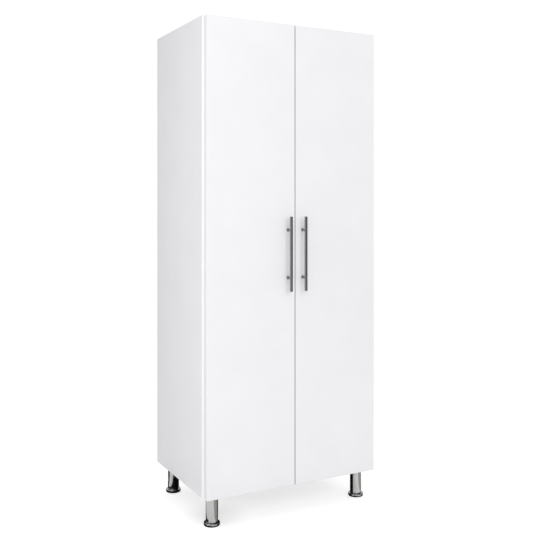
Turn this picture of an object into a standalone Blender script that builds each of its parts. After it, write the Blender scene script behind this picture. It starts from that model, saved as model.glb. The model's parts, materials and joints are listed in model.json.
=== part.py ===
"""A tall white cupboard with two slab doors, on four round metal legs.

Metres, +Z up. The doors face -Y, and the origin is the middle of the whole object's box, at the floor.
Each door hangs on three concealed cup hinges, and each leg ends in a levelling foot.
"""

from math import asin, atan2, cos, pi, radians, sin

import bmesh
import bpy
from mathutils import Matrix, Vector

# Carcase of boards
CARCASE_WIDTH = 0.800
CARCASE_DEPTH = 0.500
CARCASE_HEIGHT = 1.852
BOARD = 0.018
BOARD_EDGE_RADIUS = 0.0005
SEAT_GAP = 0.0003

# Back panel in grooves, with a wall rail behind it at the top and the bottom
BACK_PANEL_THICKNESS = 0.003
GROOVE_DEPTH = 0.008
RAIL_HEIGHT = 0.080

# Shelves: a fixed one, and one adjustable shelf on pins above and below it
FIXED_SHELF_ABOVE_UNDERSIDE = 0.926
SHELF_END_GAP = 0.0020
SHELF_FRONT_SETBACK = 0.020
PIN_RADIUS = 0.0025
PIN_HOLE_DEPTH = 0.011
PIN_STUB_LENGTH = 0.0085
PIN_COLLAR_RADIUS = 0.0035
PIN_COLLAR_THICKNESS = 0.0010
PIN_HOLE_PITCH = 0.032
PIN_HOLES_EACH_WAY = 2
PIN_FRONT_INSET = 0.050
PIN_BACK_INSET = 0.080

# Doors, in front of the carcase, with their tops level with its top
DOOR_SIDE_REVEAL = 0.0125
DOOR_BELOW_CARCASE = 0.008
DOOR_THICKNESS = 0.018
DOOR_MIDDLE_GAP = 0.003
DOOR_STANDOFF = 0.002
DOOR_EDGE_RADIUS = 0.0010

# Bar handles
HANDLE_LENGTH = 0.300
HANDLE_POST_SPACING = 0.192
HANDLE_BAR_RADIUS = 0.0060
HANDLE_POST_RADIUS = 0.0050
HANDLE_STANDOFF = 0.029
HANDLE_FROM_MIDDLE = 0.034
HANDLE_CENTRE_ABOVE_DOOR_BOTTOM = 0.936
HANDLE_END_CHAMFER = 0.0006

# Concealed hinges. Plan places are (inboard, forward) from the front inner corner of the side panel.
HINGE_FROM_DOOR_END = 0.100
MIDDLE_HINGE_BELOW_SHELF = 0.110
CUP_INBOARD = 0.0170
CUP_RADIUS = 0.0172
CUP_DEPTH = 0.0120
CUP_FLOOR = 0.0008
CUP_WALL = 0.0008
CUP_POCKET_HALF_HEIGHT = 0.0078
PIN_SEAT_DEPTH = 0.0010
WING_THICKNESS = 0.0009
WING_SCREW_SPACING = 0.048
WING_END_RADIUS = 0.0050
HINGE_PIN_RADIUS = 0.0011
HINGE_PIN_CLEARANCE = 0.00015
OUTER_ARM_PIN = (0.0275, -0.0063)
OUTER_CUP_PIN = (0.0054, 0.0048)
INNER_ARM_PIN = (0.0234, 0.0107)
INNER_CUP_PIN = (0.0080, 0.0083)
OUTER_LINK_BOW = (0.0023, -0.0069)
INNER_LINK_BOW = (0.0005, -0.0014)
LINK_EYE_RADIUS = 0.0020
LINK_HALF_WIDTH = 0.0011
BRIDGE_RADIUS = 0.0009
INNER_LINK_HALF_HEIGHT = 0.0030
OUTER_LINK_EAR = 0.0014
LINK_SIDE_GAP = 0.0005
ARM_WALL = 0.0014
ARM_BACK_END = 0.062
ARM_BEND = 0.022
ARM_LOW_BEND = 0.0060
ARM_HIGH_BEND = 0.0120
ARM_TIP_RADIUS = 0.0020
PLATE_THICKNESS = 0.0022
PLATE_WING_STEP = 0.0006
PLATE_FROM_FRONT = 0.037
PLATE_SCREW_SPACING = 0.032
PLATE_WING_RADIUS = 0.0075

# Legs and levelling feet
FLOOR_TO_CARCASE = 0.128
LEG_RADIUS = 0.0240
LEG_WALL = 0.0015
LEG_PLATE_RADIUS = 0.0320
LEG_PLATE_THICKNESS = 0.0030
LEG_CAP_THICKNESS = 0.0030
LEG_FROM_SIDE = 0.0620
LEG_FROM_FRONT = 0.0460
LEG_FROM_BACK = 0.0360
FOOT_RADIUS = 0.0320
FOOT_RIM_HEIGHT = 0.0120
FOOT_PAD_HEIGHT = 0.0020
FOOT_PAD_INSET = 0.0015
FOOT_RIM_ROUND = 0.0015
STEM_RADIUS = 0.0050
STEM_LENGTH = 0.045
STEM_CLEARANCE = 0.0003
LEG_GUIDE_HEIGHT = 0.020

# Heights that follow
CARCASE_TOP = FLOOR_TO_CARCASE + CARCASE_HEIGHT
INSIDE_BOTTOM = FLOOR_TO_CARCASE + BOARD
INSIDE_TOP = CARCASE_TOP - BOARD
FLOOR_TO_DOOR = FLOOR_TO_CARCASE - DOOR_BELOW_CARCASE
LEG_TOP = FLOOR_TO_CARCASE - SEAT_GAP
FIXED_SHELF_Z = FLOOR_TO_CARCASE + FIXED_SHELF_ABOVE_UNDERSIDE
SHELF_HEIGHTS = {
    "lower": (INSIDE_BOTTOM + FIXED_SHELF_Z) / 2,
    "upper": (INSIDE_TOP + FIXED_SHELF_Z) / 2,
}
HINGE_HEIGHTS = {
    "lower": FLOOR_TO_DOOR + HINGE_FROM_DOOR_END,
    "middle": FIXED_SHELF_Z - MIDDLE_HINGE_BELOW_SHELF,
    "upper": CARCASE_TOP - HINGE_FROM_DOOR_END,
}

# Depths that follow: the handles' fronts and the carcase's back are the ends of the box
HANDLE_PROJECTION = HANDLE_STANDOFF + HANDLE_BAR_RADIUS
TOTAL_DEPTH = CARCASE_DEPTH + DOOR_STANDOFF + DOOR_THICKNESS + HANDLE_PROJECTION
BACK_Y = TOTAL_DEPTH / 2
FRONT_Y = BACK_Y - CARCASE_DEPTH
DOOR_BACK_Y = FRONT_Y - DOOR_STANDOFF
DOOR_FRONT_Y = DOOR_BACK_Y - DOOR_THICKNESS
RAIL_FRONT_Y = BACK_Y - BOARD
BACK_PANEL_REAR_Y = RAIL_FRONT_Y - SEAT_GAP
BACK_PANEL_FRONT_Y = BACK_PANEL_REAR_Y - BACK_PANEL_THICKNESS
GROOVE_FRONT_Y = BACK_PANEL_FRONT_Y - SEAT_GAP
GROOVE_REAR_Y = BACK_PANEL_REAR_Y + SEAT_GAP
PIN_COLUMNS = {"front": FRONT_Y + PIN_FRONT_INSET, "back": BACK_Y - PIN_BACK_INSET}
LEG_ROWS = {"front": FRONT_Y + LEG_FROM_FRONT, "back": BACK_Y - LEG_FROM_BACK}

# Widths that follow
SIDES = {"left": -1, "right": 1}
INNER_X = CARCASE_WIDTH / 2 - BOARD
DOOR_OUTER_X = CARCASE_WIDTH / 2 - DOOR_SIDE_REVEAL
GROOVE_REACH = GROOVE_DEPTH - SEAT_GAP

# The layers of a hinge, counted up and down from its middle height
EAR_LOW = INNER_LINK_HALF_HEIGHT + LINK_SIDE_GAP
EAR_HIGH = EAR_LOW + OUTER_LINK_EAR
CHEEK_LOW = EAR_HIGH + LINK_SIDE_GAP
CHEEK_HIGH = CHEEK_LOW + ARM_WALL
EYE_HOLE_RADIUS = HINGE_PIN_RADIUS + HINGE_PIN_CLEARANCE

# How finely round shapes are drawn
ROUND_STEPS = 32
SMALL_ROUND_STEPS = 8
CUP_STEPS = 24
POCKET_STEPS = 4
HANDLE_STEPS = 20
POST_STEPS = 16
TIP_STEPS = 10
HOLE_STEPS = 12
EYE_STEPS = 6
BOW_STEPS = 4
EYE_SWEEP = radians(215)
SMOOTH_BELOW = radians(35)
WELD_DISTANCE = 0.000001
TURNED_WELD_DISTANCE = 0.00001
AXIS_MARK_SIZE = 0.02


def clear_scene():
    for obj in list(bpy.data.objects):
        bpy.data.objects.remove(obj, do_unlink=True)


def new_collection(name):
    collection = bpy.data.collections.new(name)
    bpy.context.scene.collection.children.link(collection)
    return collection


clear_scene()
CUPBOARD = new_collection("cupboard")
HELPERS = new_collection("cutters_and_blanks")


def material(name, colour, roughness, metallic=0.0):
    made = bpy.data.materials.new(name)
    made.use_nodes = True
    made.diffuse_color = (*colour, 1.0)
    shader = made.node_tree.nodes["Principled BSDF"]
    shader.inputs["Base Color"].default_value = (*colour, 1.0)
    shader.inputs["Roughness"].default_value = roughness
    shader.inputs["Metallic"].default_value = metallic
    return made


SIDE_BOARD = material("side_panel_melamine", (0.83, 0.83, 0.84), 0.42)
LEVEL_BOARD = material("level_board_melamine", (0.84, 0.84, 0.85), 0.42)
SHELF_BOARD = material("shelf_melamine", (0.85, 0.85, 0.86), 0.42)
RAIL_BOARD = material("rail_melamine", (0.83, 0.83, 0.84), 0.45)
BACK_BOARD = material("back_panel_lacquer", (0.80, 0.80, 0.80), 0.55)
DOOR_BOARD = material("door_satin_white", (0.88, 0.88, 0.89), 0.35)
HANDLE_METAL = material("handle_brushed_nickel", (0.52, 0.50, 0.47), 0.32, 1.0)
POST_METAL = material("handle_post_nickel", (0.55, 0.53, 0.50), 0.28, 1.0)
CUP_METAL = material("hinge_cup_nickel", (0.62, 0.61, 0.58), 0.25, 1.0)
ARM_METAL = material("hinge_arm_nickel", (0.60, 0.59, 0.56), 0.28, 1.0)
LINK_METAL = material("hinge_link_steel", (0.56, 0.56, 0.56), 0.35, 1.0)
PIN_METAL = material("shelf_pin_nickel", (0.64, 0.63, 0.60), 0.25, 1.0)
LEG_METAL = material("leg_chrome", (0.66, 0.66, 0.64), 0.16, 1.0)
FOOT_METAL = material("foot_chrome", (0.60, 0.60, 0.58), 0.20, 1.0)


def world_place(obj):
    """Where the object's origin is, since every parent here is only moved, never turned."""
    place = obj.location.copy()
    if obj.parent:
        place += world_place(obj.parent)
    return place


def settle(obj, place, parent):
    """Parents the object and puts its origin at a place in the world."""
    obj.location = Vector(place)
    if parent:
        obj.parent = parent
        obj.location -= world_place(parent)


def add_piece(name, mesh, finish, place=(0, 0, 0), parent=None):
    """One sub-part of the cupboard, with its origin at a place in the world."""
    if not mesh.materials:
        mesh.materials.append(finish)
    obj = bpy.data.objects.new(name, mesh)
    CUPBOARD.objects.link(obj)
    settle(obj, place, parent)
    return obj


def add_axis(name, place, parent=None):
    """An empty on a joint's axis, which carries what turns or slides on it."""
    axis = bpy.data.objects.new(name, None)
    axis.empty_display_size = AXIS_MARK_SIZE
    CUPBOARD.objects.link(axis)
    settle(axis, place, parent)
    return axis


def add_helper(name, data, place=(0, 0, 0)):
    """A cutter, or a blank that is joined to others, which never shows itself."""
    helper = bpy.data.objects.new(name, data)
    helper.location = Vector(place)
    helper.hide_render = True
    helper.display_type = "WIRE"
    HELPERS.objects.link(helper)
    return helper


def closed_mesh(name, shape):
    """Turns a bmesh into a mesh with its faces pointing out."""
    bmesh.ops.recalc_face_normals(shape, faces=shape.faces)
    mesh = bpy.data.meshes.new(name)
    shape.to_mesh(mesh)
    shape.free()
    return mesh


def box_mesh(name, low, high, origin=(0, 0, 0)):
    """A box between two corners, drawn about the origin given."""
    low, high = Vector(low), Vector(high)
    middle = (low + high) / 2 - Vector(origin)
    shape = bmesh.new()
    bmesh.ops.create_cube(
        shape, size=1.0, matrix=Matrix.Translation(middle) @ Matrix.Diagonal((*(high - low), 1.0))
    )
    return closed_mesh(name, shape)


def rod_mesh(name, start, end, radius, steps):
    """A cylinder between two points."""
    start, end = Vector(start), Vector(end)
    turn = (end - start).to_track_quat("Z", "Y").to_matrix().to_4x4()
    shape = bmesh.new()
    bmesh.ops.create_cone(
        shape,
        cap_ends=True,
        segments=steps,
        radius1=radius,
        radius2=radius,
        depth=(end - start).length,
        matrix=Matrix.Translation((start + end) / 2) @ turn @ Matrix.Rotation(pi / steps, 4, "Z"),
    )
    return closed_mesh(name, shape)


def merged_mesh(name, meshes):
    """Several separate shapes in one mesh, for a cutter."""
    shape = bmesh.new()
    for mesh in meshes:
        shape.from_mesh(mesh)
    return closed_mesh(name, shape)


def applied(obj, name):
    """A new mesh of the object with its modifiers applied."""
    bpy.context.view_layer.update()
    graph = bpy.context.evaluated_depsgraph_get()
    mesh = bpy.data.meshes.new_from_object(obj.evaluated_get(graph))
    mesh.name = name
    return mesh


def boolean(obj, other, operation="DIFFERENCE"):
    modifier = obj.modifiers.new(f"{operation.lower()}_{other.name}", "BOOLEAN")
    modifier.operation = operation
    modifier.solver = "EXACT"
    modifier.object = other


def fused_mesh(name, steps):
    """One mesh from the first blank, then each (operation, mesh) in turn."""
    blank = add_helper(f"{name}_blank", steps[0])
    helpers = [blank]
    for number, (operation, mesh) in enumerate(steps[1:], 1):
        helper = add_helper(f"{name}_{number}", mesh)
        boolean(blank, helper, operation)
        helpers.append(helper)
    mesh = applied(blank, name)
    for helper in helpers:
        bpy.data.objects.remove(helper, do_unlink=True)
    return mesh


def soften(obj, radius, segments=1):
    """Rounds every edge of a board."""
    bevel = obj.modifiers.new("edge_radius", "BEVEL")
    bevel.width = radius
    bevel.segments = segments
    bevel.limit_method = "ANGLE"


def shade_round(mesh):
    mesh.shade_smooth()
    mesh.set_sharp_from_angle(angle=SMOOTH_BELOW)


def turned_mesh(name, profile, steps=ROUND_STEPS):
    """A profile of (radius, height) points, top to bottom, turned about the Z axis."""
    outline = bpy.data.meshes.new(f"{name}_profile")
    points = [(radius, 0.0, height) for radius, height in profile]
    outline.from_pydata(points, [(i, i + 1) for i in range(len(points) - 1)], [])
    helper = add_helper(f"{name}_profile", outline)
    screw = helper.modifiers.new("turn", "SCREW")
    screw.steps = steps
    screw.render_steps = steps
    screw.use_merge_vertices = True
    screw.merge_threshold = TURNED_WELD_DISTANCE
    mesh = applied(helper, name)
    bpy.data.objects.remove(helper, do_unlink=True)
    shade_round(mesh)
    return mesh


def add_board(name, low, high, finish, parent=None, origin=(0, 0, 0), radius=BOARD_EDGE_RADIUS):
    """A board between two corners, with its edges just rounded."""
    board = add_piece(name, box_mesh(name, low, high, origin), finish, origin, parent)
    soften(board, radius)
    return board


def groove_cutter(name, low, high):
    return add_helper(name, box_mesh(name, low, high))


def pin_heights(shelf_z):
    """The heights of the pin holes round an adjustable shelf: its own, and some each way."""
    pin_z = shelf_z - BOARD / 2 - SEAT_GAP - PIN_RADIUS
    steps = range(-PIN_HOLES_EACH_WAY, PIN_HOLES_EACH_WAY + 1)
    return [pin_z + step * PIN_HOLE_PITCH for step in steps]


def add_side_panel(side):
    """A full-height side with a stopped groove for the back, and blind holes for the shelf pins."""
    sign = SIDES[side]
    outer_x, inner_x = sign * CARCASE_WIDTH / 2, sign * INNER_X
    panel = add_board(
        f"{side}_side_panel",
        (min(outer_x, inner_x), FRONT_Y, FLOOR_TO_CARCASE),
        (max(outer_x, inner_x), BACK_Y, CARCASE_TOP),
        SIDE_BOARD,
    )
    ends = sorted((inner_x - sign * SEAT_GAP, inner_x + sign * GROOVE_DEPTH))
    groove = box_mesh(
        f"{side}_groove",
        (ends[0], GROOVE_FRONT_Y, INSIDE_BOTTOM - GROOVE_DEPTH),
        (ends[1], GROOVE_REAR_Y, INSIDE_TOP + GROOVE_DEPTH),
    )
    holes = []
    for shelf_z in SHELF_HEIGHTS.values():
        for pin_z in pin_heights(shelf_z):
            for pin_y in PIN_COLUMNS.values():
                mouth = (inner_x - sign * SEAT_GAP, pin_y, pin_z)
                end = (inner_x + sign * PIN_HOLE_DEPTH, pin_y, pin_z)
                holes.append(
                    rod_mesh("pin_hole", mouth, end, PIN_RADIUS + SEAT_GAP, SMALL_ROUND_STEPS)
                )
    cutter = add_helper(f"{side}_side_cutter", merged_mesh(f"{side}_side_cutter", [groove, *holes]))
    boolean(panel, cutter)


def add_level_boards():
    """The top and the bottom, between the sides, each with a groove for the back panel."""
    reach = INNER_X - SEAT_GAP
    top = add_board(
        "top_panel", (-reach, FRONT_Y, INSIDE_TOP), (reach, BACK_Y, CARCASE_TOP), LEVEL_BOARD
    )
    bottom = add_board(
        "bottom_panel",
        (-reach, FRONT_Y, FLOOR_TO_CARCASE),
        (reach, BACK_Y, INSIDE_BOTTOM),
        LEVEL_BOARD,
    )
    past = INNER_X + SEAT_GAP
    boolean(
        top,
        groove_cutter(
            "top_groove",
            (-past, GROOVE_FRONT_Y, INSIDE_TOP - SEAT_GAP),
            (past, GROOVE_REAR_Y, INSIDE_TOP + GROOVE_DEPTH),
        ),
    )
    boolean(
        bottom,
        groove_cutter(
            "bottom_groove",
            (-past, GROOVE_FRONT_Y, INSIDE_BOTTOM - GROOVE_DEPTH),
            (past, GROOVE_REAR_Y, INSIDE_BOTTOM + SEAT_GAP),
        ),
    )


def add_back():
    """The thin back panel in its grooves, and the two wall rails behind it."""
    side_reach = INNER_X + GROOVE_REACH
    add_piece(
        "back_panel",
        box_mesh(
            "back_panel",
            (-side_reach, BACK_PANEL_FRONT_Y, INSIDE_BOTTOM - GROOVE_REACH),
            (side_reach, BACK_PANEL_REAR_Y, INSIDE_TOP + GROOVE_REACH),
        ),
        BACK_BOARD,
    )
    rail_reach = INNER_X - SEAT_GAP
    rails = {
        "upper_back_rail": (INSIDE_TOP - SEAT_GAP - RAIL_HEIGHT, INSIDE_TOP - SEAT_GAP),
        "lower_back_rail": (INSIDE_BOTTOM + SEAT_GAP, INSIDE_BOTTOM + SEAT_GAP + RAIL_HEIGHT),
    }
    for name, (low_z, high_z) in rails.items():
        add_board(
            name, (-rail_reach, RAIL_FRONT_Y, low_z), (rail_reach, BACK_Y, high_z), RAIL_BOARD
        )


def add_shelves():
    """The fixed middle shelf, and an adjustable shelf on four pins above and below it."""
    shelf_back = BACK_PANEL_FRONT_Y - SEAT_GAP
    fixed_reach = INNER_X - SEAT_GAP
    add_board(
        "fixed_shelf",
        (-fixed_reach, FRONT_Y, FIXED_SHELF_Z - BOARD / 2),
        (fixed_reach, shelf_back, FIXED_SHELF_Z + BOARD / 2),
        SHELF_BOARD,
    )
    reach = INNER_X - SHELF_END_GAP
    for level, shelf_z in SHELF_HEIGHTS.items():
        add_board(
            f"{level}_shelf",
            (-reach, FRONT_Y + SHELF_FRONT_SETBACK, shelf_z - BOARD / 2),
            (reach, shelf_back, shelf_z + BOARD / 2),
            SHELF_BOARD,
        )


def shelf_pin_mesh(side):
    """A pin along X: a peg for the hole, a collar against the side, and a stub under the shelf."""
    sign = SIDES[side]
    peg_end = sign * (PIN_HOLE_DEPTH - SEAT_GAP)
    collar_outer = -sign * SEAT_GAP
    collar_inner = collar_outer - sign * PIN_COLLAR_THICKNESS
    stub_end = collar_inner - sign * PIN_STUB_LENGTH
    peg = rod_mesh("peg", (stub_end, 0, 0), (peg_end, 0, 0), PIN_RADIUS, SMALL_ROUND_STEPS)
    collar = rod_mesh(
        "collar", (collar_inner, 0, 0), (collar_outer, 0, 0), PIN_COLLAR_RADIUS, SMALL_ROUND_STEPS
    )
    mesh = fused_mesh(f"{side}_shelf_pin", [peg, ("UNION", collar)])
    shade_round(mesh)
    return mesh


def add_shelf_pins():
    for side, sign in SIDES.items():
        mesh = shelf_pin_mesh(side)
        for level, shelf_z in SHELF_HEIGHTS.items():
            pin_z = shelf_z - BOARD / 2 - SEAT_GAP - PIN_RADIUS
            for depth, pin_y in PIN_COLUMNS.items():
                name = f"{level}_shelf_{depth}_{side}_pin"
                add_piece(name, mesh, PIN_METAL, (sign * INNER_X, pin_y, pin_z))


def plan(side, inboard, forward, height=0.0):
    """A place by a hinge, from the front inner corner of that side panel."""
    sign = SIDES[side]
    return Vector((sign * (INNER_X - inboard), FRONT_Y - forward, height))


def drawn(side, point, about):
    """A plan place as x and y from another plan place."""
    place = plan(side, *point) - plan(side, *about)
    return place.x, place.y


def disc_points(side, centre, radius, about, steps=TIP_STEPS):
    """Points round a disc, as x and y from a plan place."""
    x, y = drawn(side, centre, about)
    turns = [2 * pi * (step + 0.5) / steps for step in range(steps)]
    return [(x + radius * cos(turn), y + radius * sin(turn)) for turn in turns]


def hull_mesh(name, points):
    """The convex solid over some points."""
    shape = bmesh.new()
    corners = [shape.verts.new(point) for point in points]
    made = bmesh.ops.convex_hull(shape, input=corners)
    spare = {item for item in made["geom_interior"] if isinstance(item, bmesh.types.BMVert)}
    bmesh.ops.delete(shape, geom=list(spare), context="VERTS")
    return closed_mesh(name, shape)


def bowed_line(start, end, bow):
    """Points from start to end, with the middle of the line pulled along and across by the bow."""
    start, end = Vector(start), Vector(end)
    along = (end - start).normalized()
    across = Vector((-along.y, along.x))
    middle = (start + end) / 2 + along * bow[0] + across * bow[1]
    shares = [step / BOW_STEPS for step in range(BOW_STEPS + 1)]
    return [start * (1 - t) ** 2 + middle * 2 * t * (1 - t) + end * t**2 for t in shares]


def arc_round(centre, toward, radius):
    """Points round an eye, from its left side, round its far end, to its right side."""
    middle = atan2(toward.y, toward.x)
    shares = [step / EYE_STEPS for step in range(EYE_STEPS + 1)]
    turns = [middle + EYE_SWEEP * (0.5 - share) for share in shares]
    return [centre + Vector((cos(turn), sin(turn))) * radius for turn in turns]


def link_outline(line):
    """The edge of a bowed bar with a round eye at each end."""
    left, right = [], []
    for before, point, after in zip(line, line[1:], line[2:]):
        along = (after - before).normalized()
        across = Vector((-along.y, along.x)) * LINK_HALF_WIDTH
        left.append(point + across)
        right.append(point - across)
    end_arc = arc_round(line[-1], line[-1] - line[-2], LINK_EYE_RADIUS)
    start_arc = arc_round(line[0], line[0] - line[1], LINK_EYE_RADIUS)
    return [*left, *end_arc, *reversed(right), *start_arc]


def flat_mesh(name, outlines, low_z, high_z):
    """A plate from closed outlines: the first is its edge, and the others are its holes."""
    drawing = bpy.data.curves.new(name, "CURVE")
    drawing.dimensions = "2D"
    drawing.fill_mode = "BOTH"
    drawing.extrude = (high_z - low_z) / 2
    for outline in outlines:
        spline = drawing.splines.new("POLY")
        spline.points.add(len(outline) - 1)
        for point, (x, y) in zip(spline.points, outline):
            point.co = (x, y, 0, 1)
        spline.use_cyclic_u = True
    helper = add_helper(name, drawing)
    flat = applied(helper, name)
    bpy.data.objects.remove(helper, do_unlink=True)
    shape = bmesh.new()
    shape.from_mesh(flat)
    bmesh.ops.remove_doubles(shape, verts=shape.verts, dist=WELD_DISTANCE)
    bmesh.ops.translate(shape, verts=shape.verts, vec=(0, 0, (low_z + high_z) / 2))
    mesh = closed_mesh(name, shape)
    mesh.materials.clear()
    return mesh


def eye_hole(side, centre, about):
    """A round hole for a pin, whose flats and not its corners are the clearance away."""
    return disc_points(side, centre, EYE_HOLE_RADIUS / cos(pi / HOLE_STEPS), about, HOLE_STEPS)


def link_outlines(side, start, end, line):
    """A link's edge and its two eyes, drawn about the pin that it turns on."""
    edge = [drawn(side, point, start) for point in link_outline(line)]
    return [edge, eye_hole(side, start, start), eye_hole(side, end, start)]


def outer_link_mesh(side):
    """Two curved ears with a rod between them, about the pin in the arm."""
    line = bowed_line(OUTER_ARM_PIN, OUTER_CUP_PIN, OUTER_LINK_BOW)
    outlines = link_outlines(side, OUTER_ARM_PIN, OUTER_CUP_PIN, line)
    lower = flat_mesh("ear", outlines, -EAR_HIGH, -EAR_LOW)
    upper = flat_mesh("ear", outlines, EAR_LOW, EAR_HIGH)
    x, y = drawn(side, line[len(line) // 2], OUTER_ARM_PIN)
    middle_of_ear = (EAR_LOW + EAR_HIGH) / 2
    bridge = rod_mesh(
        "bridge",
        (x, y, -middle_of_ear),
        (x, y, middle_of_ear),
        BRIDGE_RADIUS,
        SMALL_ROUND_STEPS,
    )
    return fused_mesh(f"{side}_outer_link", [lower, ("UNION", upper), ("UNION", bridge)])


def inner_link_mesh(side):
    """One curved plate about its pin in the arm. Its other eye lies between the cup's stubs."""
    line = bowed_line(INNER_ARM_PIN, INNER_CUP_PIN, INNER_LINK_BOW)
    outlines = link_outlines(side, INNER_ARM_PIN, INNER_CUP_PIN, line)
    return flat_mesh(
        f"{side}_inner_link", outlines, -INNER_LINK_HALF_HEIGHT, INNER_LINK_HALF_HEIGHT
    )


def arm_mesh(side):
    """A channel on a cross-shaped plate, with two cheeks that hold the links' pins."""
    about = (0, 0)

    def block(name, low, high, half_height):
        near, far = plan(side, *low) - plan(side, *about), plan(side, *high) - plan(side, *about)
        low_x, high_x = sorted((near.x, far.x))
        low_y, high_y = sorted((near.y, far.y))
        return box_mesh(name, (low_x, low_y, -half_height), (high_x, high_y, half_height))

    def plan_rod(name, centre, half_height, radius=HINGE_PIN_RADIUS):
        x, y = drawn(side, centre, about)
        return rod_mesh(name, (x, y, -half_height), (x, y, half_height), radius, SMALL_ROUND_STEPS)

    plate_top = SEAT_GAP + PLATE_THICKNESS
    channel_top = ARM_HIGH_BEND + ARM_TIP_RADIUS
    join = PLATE_THICKNESS / 2
    channel = block(
        "channel", (plate_top - join, -ARM_BACK_END), (channel_top, -ARM_BEND), CHEEK_HIGH
    )
    hollow = block(
        "hollow",
        (plate_top - PLATE_THICKNESS, -ARM_BACK_END - ARM_WALL),
        (channel_top - ARM_WALL, -ARM_BEND + ARM_WALL),
        CHEEK_LOW,
    )
    base = block(
        "base",
        (SEAT_GAP, -ARM_BACK_END - ARM_WALL),
        (plate_top, -ARM_BEND + ARM_WALL),
        CHEEK_HIGH + ARM_WALL,
    )
    wings = block(
        "wings",
        (SEAT_GAP, -PLATE_FROM_FRONT - PLATE_WING_RADIUS),
        (plate_top - PLATE_WING_STEP, -PLATE_FROM_FRONT + PLATE_WING_RADIUS),
        PLATE_SCREW_SPACING / 2 + PLATE_WING_RADIUS,
    )
    discs = []
    bends = ((ARM_LOW_BEND, -ARM_BEND), (ARM_HIGH_BEND, -ARM_BEND))
    for centre in (OUTER_ARM_PIN, INNER_ARM_PIN, *bends):
        discs.extend(disc_points(side, centre, ARM_TIP_RADIUS, about))
    cheeks = []
    for low_z, high_z in ((-CHEEK_HIGH, -CHEEK_LOW), (CHEEK_LOW, CHEEK_HIGH)):
        cheeks.append(hull_mesh("cheek", [(x, y, z) for x, y in discs for z in (low_z, high_z)]))
    pin_reach = (CHEEK_LOW + CHEEK_HIGH) / 2
    pins = [plan_rod("pin", pin, pin_reach) for pin in (OUTER_ARM_PIN, INNER_ARM_PIN)]
    joined = [("UNION", mesh) for mesh in (base, wings, *cheeks, *pins)]
    return fused_mesh(f"{side}_hinge_arm", [channel, ("DIFFERENCE", hollow), *joined])


def cup_mesh(side):
    """A round cup with a flat-sided pocket and a wing for its screws.

    The outer link's pin runs across the pocket. The inner link's is two stubs that stop short of the
    link, because that pivot is left open.
    """
    about = OUTER_CUP_PIN
    centre_x, back_y = drawn(side, (CUP_INBOARD, DOOR_STANDOFF), about)
    mouth_y = back_y + SEAT_GAP + WING_THICKNESS
    end_y = back_y - CUP_DEPTH
    body = rod_mesh(
        "body", (centre_x, mouth_y, 0), (centre_x, end_y, 0), CUP_RADIUS, CUP_STEPS
    )
    wing_points = []
    for screw_z in (-WING_SCREW_SPACING / 2, WING_SCREW_SPACING / 2):
        for step in range(CUP_STEPS // 2):
            turn = 4 * pi * step / CUP_STEPS
            x = centre_x + WING_END_RADIUS * cos(turn)
            z = screw_z + WING_END_RADIUS * sin(turn)
            wing_points.extend([(x, mouth_y, z), (x, mouth_y - WING_THICKNESS, z)])
    pocket_radius = CUP_RADIUS - CUP_WALL
    reach = asin(CUP_POCKET_HALF_HEIGHT / pocket_radius)
    pocket_points = []
    for way in (-1, 1):
        for step in range(POCKET_STEPS + 1):
            turn = reach * (2 * step / POCKET_STEPS - 1)
            x = centre_x + way * pocket_radius * cos(turn)
            z = pocket_radius * sin(turn)
            pocket_points.extend([(x, mouth_y + CUP_WALL, z), (x, end_y + CUP_FLOOR, z)])
    pin_reach = CUP_POCKET_HALF_HEIGHT + PIN_SEAT_DEPTH
    reaches = (
        (OUTER_CUP_PIN, -pin_reach, pin_reach),
        (INNER_CUP_PIN, -pin_reach, -CHEEK_LOW),
        (INNER_CUP_PIN, CHEEK_LOW, pin_reach),
    )
    pins = []
    for pin, low_z, high_z in reaches:
        x, y = drawn(side, pin, about)
        pins.append(
            rod_mesh("pin", (x, y, low_z), (x, y, high_z), HINGE_PIN_RADIUS, SMALL_ROUND_STEPS)
        )
    steps = [
        body,
        ("UNION", hull_mesh("wing", wing_points)),
        ("DIFFERENCE", hull_mesh("pocket", pocket_points)),
        *(("UNION", pin) for pin in pins),
    ]
    return fused_mesh(f"{side}_hinge_cup", steps)


def add_hinges(side, link_axis, door_axis, inner_axis):
    """Three hinges: the arm stays, the links turn on it, and the cup goes with the door."""
    meshes = {
        "arm": (arm_mesh(side), ARM_METAL, (0, 0), None),
        "outer_link": (outer_link_mesh(side), LINK_METAL, OUTER_ARM_PIN, link_axis),
        "inner_link": (inner_link_mesh(side), LINK_METAL, INNER_ARM_PIN, inner_axis),
        "cup": (cup_mesh(side), CUP_METAL, OUTER_CUP_PIN, door_axis),
    }
    for mesh, *_ in meshes.values():
        shade_round(mesh)
    for level, hinge_z in HINGE_HEIGHTS.items():
        for part, (mesh, finish, about, parent) in meshes.items():
            place = plan(side, *about, hinge_z)
            add_piece(f"{side}_{level}_hinge_{part}", mesh, finish, place, parent)


def add_door(side, door_axis):
    """A slab door with a round recess in its back for each hinge cup."""
    sign = SIDES[side]
    edges = sorted((sign * DOOR_MIDDLE_GAP / 2, sign * DOOR_OUTER_X))
    door = add_board(
        f"{side}_door",
        (edges[0], DOOR_FRONT_Y, FLOOR_TO_DOOR),
        (edges[1], DOOR_BACK_Y, CARCASE_TOP),
        DOOR_BOARD,
        door_axis,
        world_place(door_axis),
        DOOR_EDGE_RADIUS,
    )
    recesses = []
    for hinge_z in HINGE_HEIGHTS.values():
        mouth = plan(side, CUP_INBOARD, DOOR_STANDOFF - SEAT_GAP, hinge_z)
        end = plan(side, CUP_INBOARD, DOOR_STANDOFF + CUP_DEPTH + SEAT_GAP, hinge_z)
        recesses.append(rod_mesh("recess", mouth, end, CUP_RADIUS + SEAT_GAP, CUP_STEPS))
    boolean(door, add_helper(f"{side}_cup_recesses", merged_mesh("recesses", recesses)))


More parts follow.
